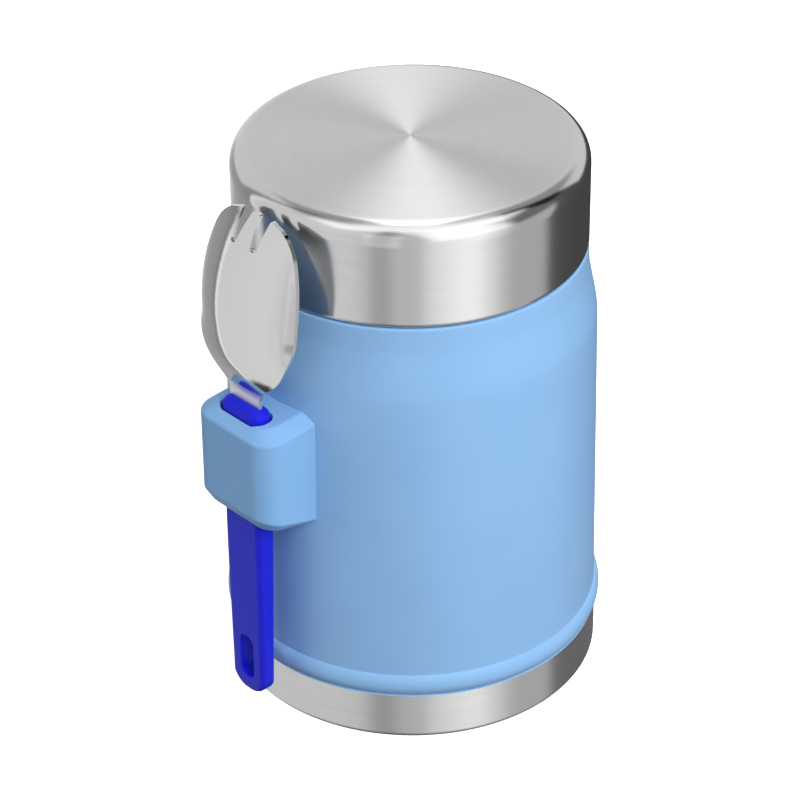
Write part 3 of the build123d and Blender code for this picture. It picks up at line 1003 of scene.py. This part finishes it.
@dataclass
class ScrewRidge:
    """A rolled or moulded thread ridge on a round wall.

    The depth keeps the ridges of neck and lid clear of each other at any turn.

    Attributes:
        name: Piece name.
        wall_r: Radius of the wall.
        low_z: Height where the ridge starts.
        turns: How many turns it makes.
        side: Which way it stands proud.
        foot: Width at the wall.
        crest: Width at the crest.
        lead: Rise per turn.
        depth: How far it stands proud.
        flank: Share of the depth at the flank's bend, and how much wider than the crest it is there.
        brow: Share of the depth at the crest's edge.
        sunk: Share of the depth that its foot reaches into the wall, and how much wider it is there.
        end_width: Share of the width that is left at its ends.
        taper_turns: Turns over which each end fades out.
        steps_per_turn: Steps of the sweep.
        sharp_deg: Edges that turn by more than this stay sharp.
    """

    name: str
    wall_r: float
    low_z: float
    turns: float
    side: Side
    foot: float = 2.6
    crest: float = 1.0
    lead: float = 6.0
    depth: float = 0.66
    flank: tuple[float, float] = (0.55, 0.25)
    brow: float = 0.92
    sunk: tuple[float, float] = (0.15, 0.1)
    end_width: float = 0.5
    taper_turns: float = 0.06
    steps_per_turn: int = 120
    sharp_deg: float = 50.0

    def section(self) -> Profile:
        """Lays out the ridge's cross-section.

        Returns:
            Share of the depth, and place along the axis, of each point.
        """
        half_foot, half_crest = self.foot / 2, self.crest / 2
        lower = (
            (-self.sunk[0], -half_foot - self.sunk[1]),
            (0.0, -half_foot),
            (self.flank[0], -half_crest - self.flank[1]),
            (self.brow, -half_crest),
        )
        upper = tuple((proud, -along) for proud, along in reversed(lower))
        return (*lower, (1.0, 0.0), *upper)

    def build(self) -> bpy.types.Object:
        """Sweeps the section along the helix, fading in and out at both ends.

        Returns:
            The ridge as a mesh object.
        """
        section = self.section()
        steps = int(self.turns * self.steps_per_turn)
        points: list[tuple[float, float, float]] = []
        count = len(section)
        for step in range(steps + 1):
            turn = step / steps * self.turns
            fade = min(1.0, turn / self.taper_turns, (self.turns - turn) / self.taper_turns)
            angle = turn * math.tau
            centre = self.low_z + turn * self.lead
            width = self.end_width + (1 - self.end_width) * fade
            for proud, along in section:
                lift = self.depth * (proud * fade if proud > 0 else proud)
                radius = self.wall_r + self.side.value * lift
                points.append((radius * math.cos(angle), radius * math.sin(angle), centre + along * width))
        faces: list[tuple[int, ...]] = []
        for step in range(steps):
            for index in range(count):
                first, second = step * count + index, step * count + (index + 1) % count
                faces.append((first, second, second + count, first + count))
        faces.append(tuple(range(count))[::-1])
        faces.append(tuple(range(steps * count, steps * count + count)))
        if self.side is Side.OUTER:
            faces = [face[::-1] for face in faces]
        return mesh_object(self.name, points, faces, self.sharp_deg)


@dataclass
class Threads:
    """The screw threads of the neck and of the lid's liner.

    Attributes:
        wardrobe: Where their finishes come from.
    """

    wardrobe: Wardrobe

    def build(self) -> None:
        """Makes each ridge and hangs it on its body."""
        neck = ScrewRidge("neck_thread", wall_r=39.2, low_z=119.5, turns=1.3, side=Side.OUTER)
        lid = ScrewRidge(
            "lid_thread", wall_r=40.6, low_z=121.8, turns=0.9, side=Side.INNER, foot=2.0, crest=0.8
        )
        ridges = (
            (neck, Body.JAR, POWDER_BLUE, "coated_steel"),
            (lid, Body.LID, CAP_PLASTIC, "cap_plastic"),
        )
        for ridge, body, finish, slot in ridges:
            piece = ridge.build()
            piece.data.materials.append(self.wardrobe.material(finish))
            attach(piece, body.value)
            LOG.info("%s rides on %s", ridge.name, body.value)


@dataclass(frozen=True)
class CameraRig:
    """The camera, on a long lens above the jar's holder side.

    Attributes:
        azimuth_deg: Direction from the object to the camera, turned from -Y towards +X.
        elevation_rad: Angle of the line of sight below the horizon.
        distance: Distance to the aim point.
        focal_px: Focal length in pixels of the frame.
        shift_right: Aim point's offset to the right of the axis.
        aim_z: Height of the aim point.
        roll_rad: Turn of the frame about the line of sight.
        frame_px: Width of the frame in pixels.
        sensor_mm: Width of the sensor.
        clip_m: Nearest and farthest distance that is seen, in metres.
    """

    azimuth_deg: float = -42.5
    elevation_rad: float = 0.572
    distance: float = 800.0
    focal_px: float = 3212.9
    shift_right: float = -2.99
    aim_z: float = 69.894
    roll_rad: float = 0.0100
    frame_px: int = 800
    sensor_mm: float = 36.0
    clip_m: tuple[float, float] = (0.01, 20.0)

    def axes(self) -> tuple[Vector, Vector, Vector]:
        """Names the directions that the studio is laid out by.

        Returns:
            The level directions right and towards the camera, and the upward one.
        """
        angle = math.radians(self.azimuth_deg)
        towards = Vector((math.sin(angle), -math.cos(angle), 0))
        right = Vector((math.cos(angle), math.sin(angle), 0))
        return right, towards, Vector((0, 0, 1))

    def sight(self, side_deg: float, rise_deg: float) -> tuple[Vector, Vector, Vector]:
        """Finds the directions at a spot of the studio, as seen from the jar.

        Args:
            side_deg: Direction on the horizon, from the camera's side towards the right.
            rise_deg: Height above the horizon.

        Returns:
            Directions towards the spot, and sideways and upwards from there.
        """
        right, towards, upward = self.axes()
        side, rise = math.radians(side_deg), math.radians(rise_deg)
        level = towards * math.cos(side) + right * math.sin(side)
        sideways = right * math.cos(side) - towards * math.sin(side)
        outward = level * math.cos(rise) + upward * math.sin(rise)
        above = upward * math.cos(rise) - level * math.sin(rise)
        return outward, sideways, above

    def build(self) -> None:
        """Makes the camera and sets it as the scene's."""
        right, towards, upward = self.axes()
        cosine, sine = math.cos(self.elevation_rad), math.sin(self.elevation_rad)
        back = towards * cosine + upward * sine
        level_up = upward * cosine - towards * sine
        turn_cos, turn_sin = math.cos(self.roll_rad), math.sin(self.roll_rad)
        x_axis = right * turn_cos - level_up * turn_sin
        y_axis = right * turn_sin + level_up * turn_cos
        place = right * self.shift_right + upward * self.aim_z + back * self.distance
        data = bpy.data.cameras.new("picture_camera")
        data.sensor_fit = "HORIZONTAL"
        data.sensor_width = self.sensor_mm
        data.lens = self.focal_px / self.frame_px * self.sensor_mm
        data.clip_start, data.clip_end = self.clip_m
        camera = bpy.data.objects.new("picture_camera", data)
        turned = Matrix((x_axis, y_axis, back)).transposed().to_4x4()
        camera.matrix_world = Matrix.Translation(place * MM) @ turned
        bpy.context.scene.collection.objects.link(camera)
        bpy.context.scene.camera = camera


@dataclass(frozen=True)
class Panel:
    """A glowing or dark panel of the light tent, as a soft-edged patch of directions.

    Attributes:
        side_deg: Direction on the horizon, from the camera's side towards the right.
        rise_deg: Height above the horizon.
        half_width: Sine of half the angle that it spans sideways.
        half_height: Sine of half the angle that it spans upwards.
        brightness: What it adds to the tent there.
        softness: How far its edge fades, as a sine.
    """

    side_deg: float
    rise_deg: float
    half_width: float
    half_height: float
    brightness: float
    softness: float

    def mask(self, graph: Graph, direction: bpy.types.NodeSocket, rig: CameraRig) -> bpy.types.Node:
        """Adds the panel's light for a direction.

        Args:
            graph: World node tree.
            direction: Direction that is looked in.
            rig: Camera that the sides are named from.

        Returns:
            The node that gives the brightness that the panel adds.
        """
        outward, sideways, above = rig.sight(self.side_deg, self.rise_deg)
        toward = {0: direction, 1: tuple(outward)}
        ahead = graph.add("ShaderNodeVectorMath", toward, operation="DOT_PRODUCT").outputs["Value"]
        front = graph.add("ShaderNodeMath", {0: ahead, 1: 0.0}, operation="GREATER_THAN")
        total = graph.add("ShaderNodeMath", {0: front, 1: self.brightness}, operation="MULTIPLY")
        for axis, half in ((sideways, self.half_width), (above, self.half_height)):
            along = {0: direction, 1: tuple(axis)}
            offset = graph.add("ShaderNodeVectorMath", along, operation="DOT_PRODUCT").outputs["Value"]
            apart = graph.add("ShaderNodeMath", {0: offset}, operation="ABSOLUTE")
            limits = span(apart, half + self.softness, half - self.softness)
            fade = graph.add("ShaderNodeMapRange", limits, interpolation_type="SMOOTHSTEP")
            total = graph.add("ShaderNodeMath", {0: total, 1: fade}, operation="MULTIPLY")
        return total


@dataclass(frozen=True)
class Surround:
    """The light tent round the jar.

    Gloss sees upright bands all round, a bright roof and a few panels. Matt surfaces are lit by an even
    glow, and the camera sees plain white.

    Attributes:
        bands: Direction in degrees, from the camera's side towards the right, and its brightness.
        dome: Brightness of the tent's roof and of its far side above the horizon.
        panels: Brighter or darker patches of the tent.
        glow: Brightness that lights matt surfaces.
        band_scale: Brightness that the band ramp's full white stands for.
        lean: How far the bands on the left lean, in degrees from the horizon to straight up.
        dark_below: Sine of the height under which the tent is black.
        dark_edge: How far that darkness fades, as a sine.
        far_side: Cosines from the camera's side between which the bands grow up from the horizon.
        front_reach: Sine of the height up to which the bands run on the near side.
        roof_edge: How far the bands fade into the dome, as a sine.
    """

    bands: tuple[tuple[float, float], ...] = (
        (-180, 0.95),
        (-158, 0.90),
        (-150, 0.55),
        (-140, 0.44),
        (-120, 0.40),
        (-112, 0.30),
        (-110.5, 1.12),
        (-108, 1.12),
        (-106, 0.88),
        (-75, 0.92),
        (-48, 0.94),
        (-34, 0.89),
        (-29, 0.76),
        (-24.3, 0.50),
        (-19, 0.41),
        (-15, 0.43),
        (-10, 0.58),
        (-5, 0.70),
        (5, 0.78),
        (10, 1.02),
        (20, 1.22),
        (33, 1.42),
        (42, 1.42),
        (51, 1.12),
        (57, 0.95),
        (64, 0.68),
        (70, 0.60),
        (94, 0.62),
        (99, 0.13),
        (112, 0.10),
        (157, 0.06),
    )
    dome: float = 0.85
    panels: tuple[Panel, ...] = (
        # side, rise, half width, half height, brightness, softness
        Panel(10, 76, 0.70, 0.24, 0.60, 0.08),  # roof light over the near side
        Panel(38, 38, 0.42, 0.50, 0.45, 0.06),  # key light's box, as gloss sees it
        Panel(178, 62, 0.12, 0.36, 1.60, 0.06),  # narrow strip light high on the far side
        Panel(80, 27, 0.26, 0.32, -0.40, 0.06),  # dark card on the right
        Panel(122, 46, 0.30, 0.30, -0.46, 0.10),  # dark card behind it, higher up
        Panel(-116, 62, 0.34, 0.22, -0.42, 0.10),  # dark card high on the far left
        Panel(-17.5, 4, 0.185, 0.53, 0.32, 0.05),  # upright light beside the camera
    )
    glow: float = 0.375
    band_scale: float = 2.0
    lean: float = 11.6
    dark_below: float = -0.80
    dark_edge: float = 0.015
    far_side: tuple[float, float] = (-0.55, -0.20)
    front_reach: float = 0.88
    roof_edge: float = 0.04

    def around(self, graph: Graph, direction: bpy.types.NodeSocket, rig: CameraRig) -> bpy.types.Node:
        """Adds the bands' brightness for a direction.

        Args:
            graph: World node tree.
            direction: Direction that is looked in.
            rig: Camera that the sides are named from.

        Returns:
            The node that gives the brightness.
        """
        parts = []
        for axis in rig.axes()[:2]:
            along = {0: direction, 1: tuple(axis)}
            parts.append(graph.add("ShaderNodeVectorMath", along, operation="DOT_PRODUCT").outputs["Value"])
        height = graph.add("ShaderNodeSeparateXYZ", {0: direction}).outputs[2]
        angle = graph.add("ShaderNodeMath", dict(enumerate(parts)), operation="ARCTAN2")
        leaning = span(angle, 0.0, -math.pi / 2, 0.0, -math.radians(self.lean))
        on_left = graph.add("ShaderNodeMapRange", leaning)
        leant = graph.add("ShaderNodeMath", {0: height, 1: on_left, 2: angle}, operation="MULTIPLY_ADD")
        # Half a turn to the left and half a turn to the right become 0 and 1 of the ramp.
        share = graph.add("ShaderNodeMath", {0: leant, 1: 1 / math.tau, 2: 0.5}, operation="MULTIPLY_ADD")
        stops = tuple(((degrees + 180) / 360, value / self.band_scale) for degrees, value in self.bands)
        ramp = graph.add("ShaderNodeValToRGB", {0: share}, stops=stops)
        limits = span(height, self.dark_below - self.dark_edge, self.dark_below + self.dark_edge)
        lifted = graph.add("ShaderNodeMapRange", limits, interpolation_type="SMOOTHSTEP")
        shown = graph.add("ShaderNodeMath", {0: ramp, 1: lifted}, operation="MULTIPLY")
        return graph.add("ShaderNodeMath", {0: shown, 1: self.band_scale}, operation="MULTIPLY")

    def build(self, rig: CameraRig) -> None:
        """Draws the world's nodes.

        Args:
            rig: Camera that the sides are named from.
        """
        world = bpy.data.worlds.new("light_tent")
        bpy.context.scene.world = world
        world.use_nodes = True
        graph = Graph(world.node_tree)
        direction = graph.add("ShaderNodeTexCoord").outputs["Generated"]
        height = graph.add("ShaderNodeSeparateXYZ", {0: direction}).outputs[2]
        near = {0: direction, 1: tuple(rig.axes()[1])}
        nearness = graph.add("ShaderNodeVectorMath", near, operation="DOT_PRODUCT").outputs["Value"]
        growth = span(nearness, *self.far_side, 0.0, self.front_reach)
        top_edge = graph.add("ShaderNodeMapRange", growth)
        over = graph.add("ShaderNodeMath", {0: height, 1: top_edge}, operation="SUBTRACT")
        limits = span(over, -self.roof_edge, self.roof_edge)
        above = graph.add("ShaderNodeMapRange", limits, interpolation_type="SMOOTHSTEP")
        band = self.around(graph, direction, rig)
        # The mix node keeps its two numbers at inputs 2 and 3.
        shown = graph.add("ShaderNodeMix", {0: above, 2: band, 3: self.dome}, data_type="FLOAT")
        for panel in self.panels:
            added = panel.mask(graph, direction, rig)
            shown = graph.add("ShaderNodeMath", {0: shown, 1: added}, operation="ADD")
        shown = graph.add("ShaderNodeMath", {0: shown, 1: 0.0}, operation="MAXIMUM")
        rays = graph.add("ShaderNodeLightPath").outputs
        by_ray = {0: rays["Is Glossy Ray"], 2: self.glow, 3: shown}
        lit = graph.add("ShaderNodeMix", by_ray, data_type="FLOAT")
        tent = graph.add("ShaderNodeBackground", {"Color": lit, "Strength": 1.0})
        white = graph.add("ShaderNodeBackground", {"Color": (1, 1, 1, 1), "Strength": 1.0})
        mixed = graph.add("ShaderNodeMixShader", {0: rays["Is Camera Ray"], 1: tent, 2: white})
        graph.add("ShaderNodeOutputWorld", {"Surface": mixed})


@dataclass(frozen=True)
class Softbox:
    """An area lamp aimed at the jar.

    Attributes:
        name: Lamp name.
        side_deg: Direction on the horizon, from the camera's side towards the right.
        rise_deg: Height above the horizon.
        distance_m: Distance from the aim point, in metres.
        size_m: Edge length, in metres.
        level: Light that it gives a surface facing it, where 1 shows a colour as it is written.
    """

    name: str
    side_deg: float
    rise_deg: float
    distance_m: float
    size_m: float
    level: float

    def build(self, rig: CameraRig) -> None:
        """Makes the lamp and aims it at the jar's middle.

        Args:
            rig: Camera that the sides are named from.
        """
        outward, _, _ = rig.sight(self.side_deg, self.rise_deg)
        data = bpy.data.lights.new(self.name, "AREA")
        data.shape, data.size = "SQUARE", self.size_m
        # A surface that faces the lamp shows power / (pi * distance) ** 2 of its colour.
        data.energy = self.level * (math.pi * self.distance_m) ** 2
        lamp = bpy.data.objects.new(self.name, data)
        lamp.location = rig.axes()[2] * (rig.aim_z * MM) + outward * self.distance_m
        lamp.rotation_mode = "QUATERNION"
        lamp.rotation_quaternion = outward.to_track_quat("Z", "Y")
        lamp.visible_glossy = False
        bpy.context.scene.collection.objects.link(lamp)


@dataclass
class Studio:
    """Camera, light and the white table.

    Attributes:
        rig: The camera.
        surround: The light tent.
        lamps: Area lamps, which gloss doesn't see.
        table_half_m: Half the table's edge, in metres.
        table_drop: How far the table lies under the jar's foot.
        table_white: Colour of the laminate, as a grey, which takes the jar's shadow.
        table_glow: Light of its own that it shows the camera, so that it looks white.
        table_bounce: Colour that it throws back on the jar, as a grey.
        mirrored: Share of the table that gloss sees close to the jar.
        mirrored_glow: Brightness of what gloss sees there.
        mirrored_reach: Distance from the origin over which that share falls to none.
    """

    rig: CameraRig = CameraRig()
    surround: Surround = Surround()
    lamps: tuple[Softbox, ...] = (
        # name, side, rise, distance, size, level
        Softbox("key_right", 28, 38, 0.9, 0.5, 0.80),
        Softbox("fill_right", 80, 10, 0.9, 0.5, 0.17),
        Softbox("fill_left", -82, 12, 0.9, 0.35, 0.13),
        Softbox("back", 165, 35, 0.9, 0.5, 0.45),
    )
    table_half_m: float = 3.0
    table_drop: float = 0.2
    table_white: float = 0.9
    table_glow: float = 0.82
    table_bounce: float = 0.22
    mirrored: float = 0.14
    mirrored_glow: float = 0.9
    mirrored_reach: tuple[float, float] = (75.0, 140.0)

    def build(self) -> None:
        """Sets up everything that isn't part of the jar."""
        self.rig.build()
        self.surround.build(self.rig)
        for lamp in self.lamps:
            lamp.build(self.rig)
        half, low = self.table_half_m / MM, -self.table_drop
        corners = [(-half, -half, low), (half, -half, low), (half, half, low), (-half, half, low)]
        table = mesh_object("white_table", corners, [(0, 1, 2, 3)], sharp_deg=30.0)
        table.data.materials.append(self.laminate())
        bpy.context.scene.view_settings.view_transform = "Standard"

    def laminate(self) -> bpy.types.Material:
        """Makes the table's pressed laminate, which looks white and still takes a shadow.

        Returns:
            The material.
        """
        material = bpy.data.materials.new("White_laminate")
        material.use_nodes = True
        graph = Graph(material.node_tree)
        white = graph.add("ShaderNodeBsdfDiffuse", {"Color": (self.table_white,) * 3 + (1,)})
        glow = graph.add("ShaderNodeEmission", {"Strength": self.table_glow})
        shown = graph.add("ShaderNodeAddShader", {0: white, 1: glow})
        bounce = graph.add("ShaderNodeBsdfDiffuse", {"Color": (self.table_bounce,) * 3 + (1,)})
        rays = graph.add("ShaderNodeLightPath").outputs
        straight = {0: rays["Is Camera Ray"], 1: rays["Is Transmission Ray"]}
        seen = graph.add("ShaderNodeMath", straight, operation="MAXIMUM")
        surface = graph.add("ShaderNodeMixShader", {0: seen, 1: bounce, 2: shown})
        place = {0: graph.millimetres()}
        distance = graph.add("ShaderNodeVectorMath", place, operation="LENGTH").outputs["Value"]
        limits = span(distance, *self.mirrored_reach, self.mirrored, 0.0)
        near = graph.add("ShaderNodeMapRange", limits, interpolation_type="SMOOTHSTEP")
        clear = graph.add("ShaderNodeBsdfTransparent")
        pale = graph.add("ShaderNodeEmission", {"Strength": self.mirrored_glow})
        mirrored = graph.add("ShaderNodeMixShader", {0: near, 1: clear, 2: pale})
        both = graph.add("ShaderNodeMixShader", {0: rays["Is Glossy Ray"], 1: surface, 2: mirrored})
        graph.add("ShaderNodeOutputMaterial", {"Surface": both})
        return material


def main() -> None:
    """Dresses the frame and sets up the studio."""
    logging.basicConfig(level=logging.INFO, format="%(name)s %(levelname)s %(message)s")
    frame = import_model()
    Studio().build()
    wardrobe = Wardrobe()
    wardrobe.dress(frame["nodes"])
    BodyShell(wardrobe).build()
    Threads(wardrobe).build()


if __name__ == "__main__":
    main()
